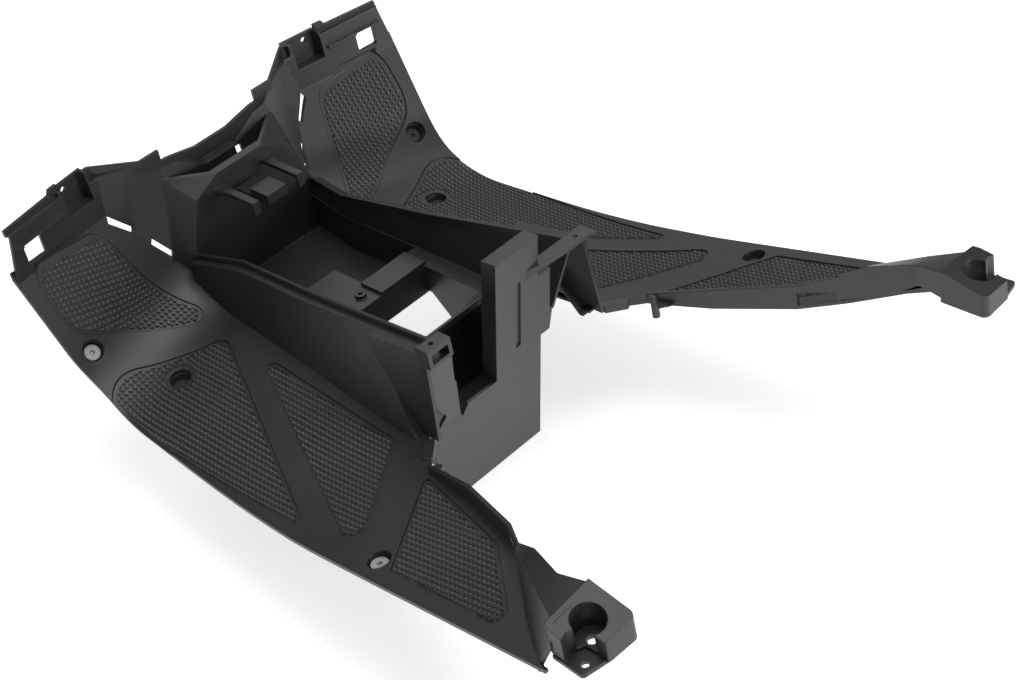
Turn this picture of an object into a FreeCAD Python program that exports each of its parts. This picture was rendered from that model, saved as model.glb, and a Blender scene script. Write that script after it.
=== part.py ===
import FreeCAD, Part
import Sketcher
import math
import os
import re

from FreeCAD import Placement, Rotation, Vector

# Floorboard of a motor scooter, one injection moulding in black plastic.
# X is to the rider's right, Y forwards, Z up. Sizes are millimetres and degrees.
# Levels are drawn from the floor's inner side, and the finished board is lifted
# so that the origin lies midway between the seats of the two middle bolts.

SIZES = (
    ("skin", 2.8, "wall of the upright panels"),
    ("deep", 90, "how far below the floor a trimming block goes"),

    ("floor_gauge", 3, "wall of the foot platforms"),
    ("inner_x", 60, "inner side where the floor's section is drawn"),
    ("outer_x", 225, "outer side where the floor's section is drawn"),
    ("inner_z", -2.5, "floor level at the inner side"),
    ("outer_z", -28.4, "floor level at the outer side, which banks down"),
    ("inner_break", 45, "where the inner side starts to rise to the rear"),
    ("outer_break", 134, "where the outer side starts to rise to the rear"),
    ("inner_sweep", 500, "radius of that rise at the inner side"),
    ("outer_sweep", 1100, "radius of that rise at the outer side"),
    ("tail_slope", 10.5, "slope of the floor's tail"),
    ("tail_y", -196, "rear end of the floor's section"),
    ("inner_foot", 357, "foot of the front ramp at the inner side"),
    ("outer_foot", 319, "foot of the front ramp at the outer side"),
    ("ramp_angle", 62, "slope of the front ramp"),
    ("ramp_radius", 88, "bend between floor and ramp"),
    ("ramp_top", 104, "height where the ramp's section ends"),

    ("nose_x", 199, "front outer corner, half width"),
    ("nose_y", 386, "front outer corner"),
    ("waist_x", 188, "narrowest half width, behind the ramp"),
    ("waist_y", 328, "place of the waist"),
    ("waist_radius", 90, "bend of the edge at the waist"),
    ("belly_x", 209, "half width beside the middle of the floor"),
    ("belly_y", 80, "place of that width"),
    ("spike_x", 224.5, "half width at the rear corner"),
    ("spike_y", -187, "rear corner of the platform"),
    ("heel_x", 213, "inner end of the rear edge"),
    ("heel_y", -173, "inner end of the rear edge"),
    ("lip_gauge", 2.6, "wall of the turned-down edge"),
    ("lip_depth", 3.2, "depth of the turned-down edge"),
    ("lip_front", 157, "where the turned-down edge fades out"),

    ("skirt_x", 87, "floor's inner edge beside the battery box"),
    ("skirt_y", 66, "rear end of that stretch"),
    ("neck_x", 113, "floor's inner edge behind the tunnel"),
    ("neck_y", 35, "place of that point"),
    ("curb_x", 124.6, "where the curb starts"),
    ("curb_y", -20, "where the curb starts"),
    ("curb_mid_x", 146, "bend of the curb"),
    ("curb_mid_y", -83, "bend of the curb"),
    ("curb_end_x", 162.5, "where the curb meets the arm"),
    ("curb_end_y", -109, "where the curb meets the arm"),
    ("curb_gauge", 2.8, "wall of the curb"),
    ("curb_top", 19.5, "top of the curb at its start"),
    ("curb_mid_top", 34, "top of the curb at its bend"),
    ("curb_end_top", 42.3, "top of the curb at the arm"),
    ("curb_slot", 24, "length of the slot through the curb, along Y"),
    ("curb_slot_high", 11, "height of that slot"),
    ("curb_slot_z", 17, "sill of that slot"),

    ("bolt_radius", 2.6, "screw holes in the floor"),
    ("cup_radius", 9, "mouth of the recess round each floor screw"),
    ("seat_radius", 7, "seat of the screw in that recess"),
    ("cup_depth", 8, "depth of that recess"),
    ("mid_bolt_x", 196.8, "middle screw, off the centre line"),
    ("mid_bolt_y", 0, "middle screw"),
    ("mid_bolt_z", -2, "floor level at the middle screw"),
    ("front_bolt_x", 139, "front screw, off the centre line"),
    ("front_bolt_y", 294.5, "front screw"),
    ("front_bolt_z", -14.6, "floor level at the front screw"),
    ("ramp_bolt_x", 173.6, "screw on the ramp's bend, off the centre line"),
    ("ramp_bolt_y", 347, "screw on the ramp's bend"),
    ("ramp_bolt_z", 13.6, "surface level at that screw"),
    ("ramp_bolt_tilt", 46, "lean of that screw"),
    ("pad_depth", 1.2, "depth of the grip pads"),

    ("wall_head", 120, "height where the front wall's upper outline is drawn"),
    ("wall_foot", 12, "height where the front wall's lower outline is drawn"),
    ("middle_foot_y", 366, "front wall at the centre, lower outline"),
    ("middle_head_y", 376.9, "front wall at the centre, upper outline"),
    ("fold_foot_x", 77.7, "first fold of the front wall, lower outline"),
    ("fold_head_x", 48.4, "first fold of the front wall, upper outline"),
    ("bend_foot_x", 95, "second fold of the front wall, lower outline"),
    ("bend_head_x", 73.2, "second fold of the front wall, upper outline"),
    ("bend_y", 384.5, "second fold of the front wall"),
    ("corner_foot_x", 115, "foremost corner of the front wall, lower outline"),
    ("corner_foot_y", 388, "foremost corner of the front wall, lower outline"),
    ("corner_head_x", 95.5, "foremost corner of the front wall, upper outline"),
    ("corner_head_y", 398, "foremost corner of the front wall, upper outline"),
    ("end_foot_x", 212, "outer end of the front wall, lower outline"),
    ("end_foot_y", 377, "outer end of the front wall, lower outline"),
    ("end_head_x", 188.5, "outer end of the front wall, upper outline"),
    ("end_head_y", 381.6, "outer end of the front wall, upper outline"),
    ("wall_limit", 408, "foremost line of the ramp's blank"),
    ("flange_y", 380, "upper flange at the centre"),
    ("flange_x", 67, "where the upper flange turns forwards"),
    ("flange_corner_x", 100, "foremost corner of the upper flange"),
    ("flange_corner_y", 402, "foremost corner of the upper flange"),
    ("flange_end_x", 191, "outer end of the upper flange"),
    ("flange_end_y", 385, "outer end of the upper flange"),
    ("shoulder_x", 49, "where the flange steps up"),
    ("saddle_top", 98, "flange top at the centre line"),
    ("saddle_half", 16, "half width of that low stretch"),
    ("saddle_side_x", 43, "where the flange's low stretch ends its rise"),
    ("saddle_side_top", 103.5, "flange top beside the step"),
    ("shoulder_top", 113.4, "flange top outside the step"),
    ("corner_top", 120, "flange top at the foremost corner"),
    ("tab_x", 124, "inner end of the raised tab on the flange"),
    ("tab_wide", 17, "width of the raised tab"),
    ("tab_top", 126, "top of the raised tab"),
    ("end_top", 121.5, "flange top at its outer end"),
    ("ledge_gauge", 2.4, "thickness of the ledge between lower wall and flange"),
    ("ledge_top", 85, "top of that ledge at the centre"),
    ("ledge_step_x", 40, "end of its rise beside the centre"),
    ("ledge_step_top", 99, "its top there"),
    ("ledge_fold_x", 52, "where it rises again"),
    ("ledge_fold_top", 101, "its top there"),
    ("ledge_bend_x", 76, "end of that rise"),
    ("ledge_bend_top", 112, "its top there"),
    ("ledge_mid_x", 103, "where it passes the wall's corner"),
    ("ledge_mid_top", 111, "top of that ledge at the corner"),
    ("ledge_rise_x", 137, "last bend of that ledge"),
    ("ledge_high_top", 117.5, "top of that ledge at its last bend"),
    ("ledge_end_top", 118.5, "top of that ledge at its outer end"),
    ("bead_x", 137, "inner end of the bead above the strap window"),
    ("bead_long", 51, "length of that bead"),
    ("bead_top", 105.5, "top of that bead"),
    ("bead_reach", 2.5, "how far that bead stands off the wall"),
    ("pocket_x", 107, "inner side of the pocket in the flange"),
    ("pocket_wide", 26, "width of that pocket"),
    ("pocket_z", 97, "floor of that pocket"),
    ("pocket_deep", 6, "how far that pocket bulges forward"),
    ("eyelet_x", 125, "small hole in the pocket"),
    ("eyelet_z", 114, "height of that hole"),
    ("eyelet_radius", 2.4, "radius of that hole"),
    ("window_x", 164.5, "inner side of the strap window"),
    ("window_wide", 17, "width of the strap window"),
    ("window_z", 86.5, "sill of the strap window"),
    ("window_high", 18, "height of the strap window"),
    ("slit_x", 14.5, "inner side of the slit above the front shelf"),
    ("slit_wide", 5.5, "width of that slit"),
    ("slit_high", 9.5, "height of that slit"),

    ("ridge_y", 350, "rear face of the tunnel's front bulkhead"),
    ("ridge_front_y", 375, "front end of the bulkhead"),
    ("ridge_top", 86.5, "top of the bulkhead"),
    ("ridge_half", 23, "half width of the bulkhead's top"),
    ("ridge_brow_half", 47, "half width where its bevelled corner starts"),
    ("ridge_brow_z", 74.5, "height where its bevelled corner starts"),
    ("ridge_front_half", 57.2, "half width of its top at the front wall"),
    ("ridge_front_top", 92, "its top at the front wall"),
    ("ridge_foot_half", 62, "half width of the bulkhead where it meets the rim"),
    ("ridge_front_foot", 74.2, "half width there at the front wall"),
    ("ridge_gauge", 6, "thickness of the ridge"),
    ("ridge_foot_z", 33, "height where the bulkhead meets the rim"),
    ("shelf_top", 73, "floor of the trough behind the ridge"),

    ("hook_z", 71, "underside of the hooks on the bulkhead"),
    ("hook_gauge", 3.2, "thickness of the hooks"),
    ("hook_x", 23, "place of the hooks, off the centre line"),
    ("hook_root", 10.5, "width of a hook at its root"),
    ("hook_wide", 6.5, "width of a hook at its tip"),
    ("hook_y", 306, "tips of the hooks"),
    ("hook_drop", 9, "length of a hook's turned-down tip"),
    ("catch_wide", 20, "width of the catch"),
    ("catch_y", 310, "rear end of the catch"),
    ("catch_long", 22, "length of the catch"),
    ("catch_top", 70, "top of the catch"),
    ("catch_high", 9, "height of the catch"),

    ("rim_gauge", 2.6, "wall of the tunnel's rim"),
    ("rim_step", 4.5, "how far the lid's seat lies below the rim"),
    ("rim_seat", 6.5, "width of the lid's seat"),
    ("well_half", 50, "inside half width at the deck"),
    ("tub_front_half", 57, "inside half width at the deck's front end"),
    ("rim_front_x", 60.5, "rim at the bulkhead, half width"),
    ("rim_front_z", 33, "rim at the bulkhead, height"),
    ("foot_front_x", 70, "tunnel foot at the bulkhead, half width"),
    ("rim_waist_x", 50.5, "rim at the waist, half width"),
    ("rim_waist_y", 300, "place of the rim's waist"),
    ("rim_waist_z", 38.5, "rim at the waist, height"),
    ("foot_waist_x", 73.5, "tunnel foot at the waist, half width"),
    ("rim_mid_x", 57.5, "rim in the middle, half width"),
    ("rim_mid_y", 205, "place of the middle section"),
    ("rim_mid_z", 49.5, "rim in the middle, height"),
    ("foot_mid_x", 82, "tunnel foot in the middle, half width"),
    ("rim_rear_x", 68.5, "rim at the rear, half width"),
    ("rim_rear_y", 55, "rear end of the tunnel's sides"),
    ("rim_rear_z", 72.8, "rim at the rear, height"),
    ("foot_rear_x", 98, "tunnel foot at the rear, half width"),
    ("foot_z", -8, "lower edge of the tunnel's sides"),

    ("deck_top", 18.5, "deck inside the tunnel"),
    ("deck_gauge", 2.5, "thickness of the deck"),
    ("bar_top", 21, "raised bar in front of the well"),
    ("bar_deep", 24, "length of that bar along Y"),
    ("bar_left", -8, "left end of that bar"),
    ("bar_right", 39, "right end of that bar"),
    ("deck_step_x", -5, "side of the deck's tongue that reaches further forward"),
    ("peg_x", -17.7, "small hollow peg beside the bar"),
    ("peg_y", 206.9, "small hollow peg beside the bar"),
    ("peg_radius", 4.5, "radius of that peg"),
    ("peg_hole", 1.8, "radius of the hole in it"),
    ("well_y", 193, "front wall of the well"),
    ("well_rear_y", 123.6, "cross bar behind the well"),
    ("cross_deep", 2.4, "thickness of that cross bar"),
    ("well_left", -33, "left side wall of the well"),
    ("well_right", 36, "right side wall of the well"),
    ("well_foot_z", -6, "lower edge of the well's front wall"),
    ("pit_y", 252, "rear wall of the pit between deck and bulkhead"),
    ("pit_floor", -12, "floor of that pit"),

    ("side_front_y", 123, "where the tunnel's upright rear stretch starts"),
    ("side_front_x", 80, "its outer face there, at the top"),
    ("side_rear_x", 82, "its outer face at its rear end, at the top"),
    ("side_foot_x", 87.7, "its outer face at the foot"),
    ("side_base", -1, "its lower edge"),
    ("side_low_base", -5, "its lower edge behind the step"),
    ("side_step_y", 76, "place of that step"),
    ("brace_top", 54, "upper end of the slanting edge before that stretch"),
    ("brace_top_y", 120, "upper end of that slanting edge"),
    ("brace_foot", -3, "lower end of that slanting edge"),
    ("brace_foot_y", 72, "lower end of that slanting edge"),

    ("back_top_y", 50.2, "rear wall at the height of its top"),
    ("back_top", 99.5, "top of the rear wall's tall column"),
    ("back_lean", 13.2, "lean of the rear wall"),
    ("tower_left", -8.6, "left side of the tall column"),
    ("tower_right", 35, "right side of the tall column"),
    ("tower_deep", 14.5, "depth of the tall column"),
    ("tower_bevel", 1.5, "fall of the column's top"),
    ("back_right", 48, "right edge of the rear wall, upper part"),
    ("back_step_top", 60, "top of that part"),
    ("back_step_z", -2, "foot of that part"),
    ("box_right", 38.6, "right side of the battery box"),
    ("box_left", -49.5, "left side of the battery box"),
    ("box_base", -107, "lower edge of the battery box"),
    ("box_floor", -72, "floor of the battery box"),
    ("box_front", 153, "front wall of the battery box"),
    ("box_front_top", -8, "top of that wall"),
    ("box_wall", 2.6, "wall of the battery box"),
    ("box_flare", 3, "how far the box's mouth spreads at the deck"),
    ("box_draft", 3.5, "how far the left wall leans in at its foot"),
    ("post_left", -82.6, "left edge of the slim column at its top"),
    ("post_right", -60.3, "right edge of the slim column at its top"),
    ("post_top", 72.8, "top of the slim column"),
    ("post_deep", 12, "depth of the slim column's head"),
    ("post_y", 50.5, "rear face of that head"),
    ("post_head", 15.3, "height of that head"),
    ("post_foot_y", 77, "rear face of the slim column at the opening's foot"),
    ("arm_right", 86, "right end of the bracket behind the far rim"),
    ("notch_z", -15, "foot of the opening in the rear wall"),
    ("eye_radius", 1.8, "small holes in column and bracket"),
    ("eye_x", 73.2, "those holes, off the centre line"),
    ("eye_y", 56.5, "those holes"),

    ("arm_x", 162.5, "inboard side of the rear arm, at its root"),
    ("crest", 0.52, "least width of the arm's crest inside its walls"),
    ("arm_low_x", 168, "inboard side of the arm, lower middle"),
    ("arm_low_y", -130, "place of that section"),
    ("arm_low_top", 54.8, "top of the arm there"),
    ("arm_high_x", 180, "inboard side of the arm, upper middle"),
    ("arm_high_y", -162, "place of that section"),
    ("arm_high_top", 61, "top of the arm there"),
    ("arm_end_x", 177, "inboard side of the rear arm, at its end"),
    ("arm_end_y", -190, "where the arm meets its block"),
    ("arm_outer_x", 216, "outer shoulder of the arm at the block"),
    ("arm_foot_x", 234, "foot of the arm's outer flank"),
    ("arm_top", 65.5, "top of the arm at the block"),
    ("block_x", 176.6, "inboard side of the bolt block"),
    ("block_y", -222.4, "rear side of the bolt block"),
    ("block_front", -185.4, "front side of the bolt block"),
    ("block_outer", 218, "outer side of the bolt block"),
    ("block_base", 40, "underside of the bolt block"),
    ("block_top", 66.8, "top of the bolt block at its front inboard corner"),
    ("block_pitch", 13.7, "fall of the block's top to the rear"),
    ("block_roll", 5.5, "fall of the block's top to the outside"),
    ("cup_x", 197.4, "bolt in the block, off the centre line"),
    ("cup_y", -203, "bolt in the block"),
    ("cup_big", 11.3, "recess round that bolt"),
    ("cup_hole", 4, "hole for that bolt"),
    ("cup_seat", 43.5, "seat of that bolt"),
    ("tip_x", 221, "tip beside the block"),
    ("tip_y", -216, "tip beside the block"),
    ("tip_top", 41, "top of the tip's flange"),
    ("tip_gauge", 3, "thickness of the tip's flange"),
    ("tip_hole_x", 213, "hole in the tip"),
    ("tip_hole_y", -211, "hole in the tip"),
    ("tip_hole", 2.8, "radius of the hole in the tip"),
)

ALIASES = {alias for alias, number, meaning in SIZES}
UP = Vector(0, 0, 1)
FORWARD = Vector(0, 1, 0)
RIGHT = Vector(1, 0, 0)
TURNS = {"XY": Rotation(), "XZ": Rotation(RIGHT, 90), "YZ": Rotation(Vector(1, 1, 1), 120)}
OFFSETS = {"XY": "z", "XZ": "y", "YZ": "x"}

DOC = FreeCAD.newDocument("scooter_floorboard")


def fill_sheet():
    """Write every driving size into the spreadsheet, under its alias."""
    sheet = DOC.addObject("Spreadsheet::Sheet", "Sizes")
    for row, (alias, number, meaning) in enumerate(SIZES, start=1):
        sheet.set("A%d" % row, meaning)
        sheet.set("B%d" % row, str(number))
        sheet.setAlias("B%d" % row, alias)
    DOC.recompute()
    return sheet


SHEET = fill_sheet()


def formula(text):
    """Turn size words into references to the spreadsheet."""
    def refer(match):
        word = match.group()
        return "Sizes." + word if word in ALIASES else word
    return re.sub(r"[a-z][a-z_]+", refer, str(text))


def value(text):
    """Work a formula out to a number."""
    return float(SHEET.evalExpression(formula(text)))


def bind(thing, prop, text):
    """Tie a property to a formula of sizes."""
    thing.setExpression(prop, formula(text))


def unit(start, end):
    """Direction from one point to another, and their distance."""
    step = end - start
    return step / step.Length, step.Length


def draw_loop(drawing, corners):
    """Draw a closed outline. A corner is (across, up) or (across, up, radius)."""
    spots = [Vector(value(corner[0]), value(corner[1]), 0) for corner in corners]
    radii = [value(corner[2]) if len(corner) > 2 else 0 for corner in corners]
    count = len(corners)
    arrive, leave, turns = [], [], []
    for index, spot in enumerate(spots):
        back, _ = unit(spot, spots[index - 1])
        ahead, _ = unit(spot, spots[(index + 1) % count])
        half = back.getAngle(ahead) / 2
        trim = radii[index] / math.tan(half) if radii[index] else 0
        arrive.append(spot + back * trim)
        leave.append(spot + ahead * trim)
        turns.append(ahead.cross(back).z)
    first = drawing.GeometryCount
    for index in range(count):
        drawing.addGeometry(Part.LineSegment(leave[index], arrive[(index + 1) % count]))
    for index, corner in enumerate(corners):
        incoming = first + (index - 1) % count
        outgoing = first + index
        if radii[index]:
            add_round(drawing, corner, spots[index], arrive[index], leave[index],
                      radii[index], turns[index], incoming, outgoing)
        else:
            rules = Sketcher.Constraint("Coincident", incoming, 2, outgoing, 1)
            drawing.addConstraint(rules)
            place_point(drawing, outgoing, 1, corner)


def place_point(drawing, geometry, end, corner):
    """Hold a point at its two formulas."""
    for kind, text in (("DistanceX", corner[0]), ("DistanceY", corner[1])):
        index = drawing.addConstraint(Sketcher.Constraint(kind, geometry, end, value(text)))
        bind(drawing, "Constraints[%d]" % index, text)


def add_round(drawing, corner, spot, arrive, leave, radius, turn, incoming, outgoing):
    """Round one corner with an arc that touches both of its lines."""
    back, _ = unit(spot, arrive)
    ahead, _ = unit(spot, leave)
    middle = back + ahead
    middle.normalize()
    half = back.getAngle(ahead) / 2
    centre = spot + middle * (radius / math.sin(half))
    start, end = (arrive, leave) if turn > 0 else (leave, arrive)
    low = math.atan2(start.y - centre.y, start.x - centre.x)
    high = math.atan2(end.y - centre.y, end.x - centre.x)
    circle = Part.Circle(centre, UP, radius)
    arc = drawing.addGeometry(Part.ArcOfCircle(circle, low, high))
    peak = drawing.addGeometry(Part.Point(spot), True)
    arriving, leaving = (1, 2) if turn > 0 else (2, 1)
    drawing.addConstraint(Sketcher.Constraint("Tangent", incoming, 2, arc, arriving))
    drawing.addConstraint(Sketcher.Constraint("Tangent", arc, leaving, outgoing, 1))
    drawing.addConstraint(Sketcher.Constraint("PointOnObject", peak, 1, incoming))
    drawing.addConstraint(Sketcher.Constraint("PointOnObject", peak, 1, outgoing))
    place_point(drawing, peak, 1, corner)
    index = drawing.addConstraint(Sketcher.Constraint("Radius", arc, radius))
    bind(drawing, "Constraints[%d]" % index, corner[2])


def sketch(name, plane, offset, *loops):
    """A sketch on a plane parallel to XY, XZ or YZ."""
    drawing = DOC.addObject("Sketcher::SketchObject", name)
    drawing.Placement = Placement(Vector(), TURNS[plane])
    bind(drawing, "Placement.Base." + OFFSETS[plane], offset)
    for corners in loops:
        draw_loop(drawing, corners)
    return drawing


def prism(name, drawing, direction, length):
    """Extrude a sketch."""
    solid = DOC.addObject("Part::Extrusion", name)
    solid.Base = drawing
    solid.DirMode = "Custom"
    solid.Dir = direction
    solid.Solid = True
    bind(solid, "LengthFwd", length)
    return solid


def loft(name, *sections):
    """Join sections with straight lines."""
    solid = DOC.addObject("Part::Loft", name)
    solid.Sections = list(sections)
    solid.Solid = True
    solid.Ruled = True
    return solid


def box(name, across, along, up):
    """A box from three (start, size) pairs of formulas."""
    solid = DOC.addObject("Part::Box", name)
    sides = (("Length", "x", across), ("Width", "y", along), ("Height", "z", up))
    for prop, side, (start, size) in sides:
        bind(solid, prop, size)
        bind(solid, "Placement.Base." + side, start)
    return solid


def drum(name, centre, radius, low, height, tilt="0", top_radius=None):
    """A cylinder or cone whose axis leans back by the tilt."""
    kind = "Part::Cone" if top_radius else "Part::Cylinder"
    solid = DOC.addObject(kind, name)
    if top_radius:
        bind(solid, "Radius1", radius)
        bind(solid, "Radius2", top_radius)
    else:
        bind(solid, "Radius", radius)
    bind(solid, "Height", height)
    solid.Placement = Placement(Vector(), Rotation(RIGHT, value(tilt)))
    bind(solid, "Placement.Base.x", centre[0])
    bind(solid, "Placement.Base.y", "(%s) - (%s) * sin(%s)" % (centre[1], low, tilt))
    bind(solid, "Placement.Base.z", "(%s) + (%s) * cos(%s)" % (centre[2], low, tilt))
    if tilt != "0":
        bind(solid, "Placement.Rotation.Angle", tilt)
    return solid


def fuse(name, *solids):
    """One solid from several."""
    whole = DOC.addObject("Part::MultiFuse", name)
    whole.Shapes = list(solids)
    return whole


def common(name, *solids):
    """What several solids share."""
    shared = DOC.addObject("Part::MultiCommon", name)
    shared.Shapes = list(solids)
    return shared


def cut(name, base, tool):
    """One solid less another."""
    rest = DOC.addObject("Part::Cut", name)
    rest.Base = base
    rest.Tool = tool
    return rest


def mirrored(name, solid):
    """The same on the other side of the centre line."""
    twin = DOC.addObject("Part::Mirroring", name)
    twin.Source = solid
    twin.Normal = RIGHT
    return twin


def floor_section(name, side, top, bottom):
    """The platform's section along Y, between two depths below its surface."""
    level, start = side + "_z", side + "_break"
    foot, sweep = side + "_foot", side + "_sweep"

    def line(depth):
        rise = "(%s - tail_y) * tan(tail_slope)" % start
        run = "(ramp_top - %s) / tan(ramp_angle)" % level
        return (
            ("tail_y", "%s + %s - (%s) / cos(tail_slope)" % (level, rise, depth)),
            ("%s - (%s) * tan(tail_slope / 2)" % (start, depth), "%s - (%s)" % (level, depth),
             "%s + (%s)" % (sweep, depth)),
            ("%s + (%s) * tan(ramp_angle / 2)" % (foot, depth), "%s - (%s)" % (level, depth),
             "ramp_radius + (%s)" % depth),
            ("%s + %s + (%s) / sin(ramp_angle)" % (foot, run, depth), "ramp_top"),
        )
    corners = list(line(top)) + list(reversed(line(bottom)))
    return sketch(name, "YZ", side + "_x", corners)


def floor_layer(name, top, bottom):
    """A layer of the banked platform, between two depths below its surface."""
    inner = floor_section(name + "_inner", "inner", top, bottom)
    outer = floor_section(name + "_outer", "outer", top, bottom)
    return loft(name, inner, outer)


def upright(name, low, high, *loops):
    """A vertical prism from plan outlines."""
    drawing = sketch(name + "_plan", "XY", low, *loops)
    return prism(name, drawing, UP, "(%s) - (%s)" % (high, low))


def floor_plate():
    """The platform itself, cut to its plan outline."""
    outline = (
        ("rim_front_x", "ridge_y"),
        ("rim_front_x", "wall_limit"),
        ("nose_x", "wall_limit"),
        ("nose_x", "nose_y"),
        ("waist_x", "waist_y", "waist_radius"),
        ("belly_x", "belly_y"),
        ("spike_x", "spike_y"),
        ("heel_x", "heel_y"),
        ("curb_end_x + 4", "curb_end_y - 6"),
        ("curb_end_x", "curb_end_y"),
        ("curb_mid_x", "curb_mid_y"),
        ("curb_x", "curb_y"),
        ("neck_x", "neck_y"),
        ("skirt_x", "skirt_y"),
        ("foot_mid_x - 2", "rim_mid_y"),
        ("foot_waist_x - 2", "rim_waist_y"),
    )
    plan = upright("floor_plan", "-deep", "ramp_top + 5", outline)
    return common("floor", floor_layer("floor_skin", "0", "floor_gauge"), plan)


def edge_lip():
    """The turned-down outer edge."""
    front_x = "belly_x - (belly_x - waist_x) * (lip_front - belly_y) / (waist_y - belly_y)"
    band = (
        (front_x, "lip_front"),
        ("belly_x", "belly_y"),
        ("spike_x", "spike_y"),
        ("spike_x - lip_gauge", "spike_y"),
        ("belly_x - lip_gauge", "belly_y"),
        (front_x + " - lip_gauge", "lip_front"),
    )
    plan = upright("lip_plan", "-deep", "ramp_top + 5", band)
    return common("lip", floor_layer("lip_skin", "0.5", "lip_depth"), plan)


def grip_pads():
    """The four shallow fields that hold the grip pattern."""
    outlines = (
        (("183", "385", "12"), ("115", "391", "16"), ("69.5", "312", "9"),
         ("140.5", "347", "120"), ("182.4", "358", "12")),
        (("194", "341.5", "28"), ("89.5", "294.5", "12"), ("198.2", "76.5", "4.5")),
        (("88", "262", "6"), ("101", "86.6", "10"), ("208", "13.5", "11")),
        (("118.5", "36.5", "3"), ("150.6", "-70", "20"), ("211.3", "-145", "8"),
         ("202.6", "-17.5", "5")),
    )
    fields = upright("pad_plans", "-deep", "ramp_top", *outlines)
    return common("pad_recesses", floor_layer("pad_skin", "-2", "pad_depth"), fields)


def screw_cups():
    """Bosses, recesses and holes for the three floor screws of a side."""
    places = (
        ("mid_bolt", "0"),
        ("front_bolt", "0"),
        ("ramp_bolt", "ramp_bolt_tilt"),
    )
    bosses, hollows = [], []
    for word, tilt in places:
        centre = (word + "_x", word + "_y", word + "_z")
        low = "-cup_depth - floor_gauge"
        bosses.append(drum(word + "_boss", centre, "cup_radius + skin", low, "cup_depth", tilt))
        cup = drum(word + "_cup", centre, "seat_radius", "-cup_depth", "cup_depth", tilt, "cup_radius")
        hollows.append(cup)
        hollows.append(drum(word + "_mouth", centre, "cup_radius", "-0.01", "16", tilt))
        hollows.append(drum(word + "_hole", centre, "bolt_radius", "-30", "40", tilt))
    return bosses, hollows


def wall_band(name, front, back, splay="0"):
    """A band along the lower front wall, lofted between its foot and its head."""
    def outline(level):
        line = (
            ("-1", "middle_%s_y" % level),
            ("fold_%s_x" % level, "middle_%s_y" % level),
            ("bend_%s_x" % level, "bend_y"),
            ("corner_%s_x" % level, "corner_%s_y" % level),
            ("end_%s_x + %s" % (level, splay), "end_%s_y" % level),
        )
        ahead = [(x, "%s + %s" % (y, front)) for x, y in line]
        behind = [(x, "%s + %s" % (y, back)) for x, y in reversed(line)]
        return sketch(name + "_" + level, "XY", "wall_" + level, ahead + behind)
    return loft(name, outline("foot"), outline("head"))


def ledge_line(drop):
    """The ledge between lower wall and flange, seen from the rear, right to left."""
    return (
        ("flange_end_x", "ledge_end_top - (%s)" % drop),
        ("ledge_rise_x", "ledge_high_top - (%s)" % drop),
        ("ledge_mid_x", "ledge_mid_top - (%s)" % drop),
        ("ledge_bend_x", "ledge_bend_top - (%s)" % drop),
        ("ledge_fold_x", "ledge_fold_top - (%s)" % drop),
        ("ledge_step_x", "ledge_step_top - (%s)" % drop),
        ("saddle_half", "ledge_top - (%s)" % drop),
        ("-1", "ledge_top - (%s)" % drop),
    )


def lower_wall():
    """Leaning wall above the crease of ramp and tunnel."""
    face = sketch("lower_profile", "XZ", "300", ledge_line("ledge_gauge / 2") + (
        ("-1", "shelf_top - skin"),
        ("ridge_front_half - 4", "shelf_top - skin"),
        ("ridge_front_foot - 6", "ridge_foot_z"),
        ("ridge_front_foot - 6", "deck_top"),
        ("nose_x", "deck_top"),
        ("nose_x + 1", "78"),
    ))
    band = wall_band("lower_band", "skin", "0")
    return common("lower_wall", band, prism("lower_outline", face, FORWARD, "200"))


def flange_plan(front, back):
    """Plan of a band along the upper flange."""
    line = (
        ("-1", "flange_y"),
        ("flange_x", "flange_y"),
        ("flange_corner_x", "flange_corner_y"),
        ("flange_end_x", "flange_end_y"),
    )
    ahead = [(x, "%s + %s" % (y, front)) for x, y in line]
    behind = [(x, "%s + %s" % (y, back)) for x, y in reversed(line)]
    return ahead + behind


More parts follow.
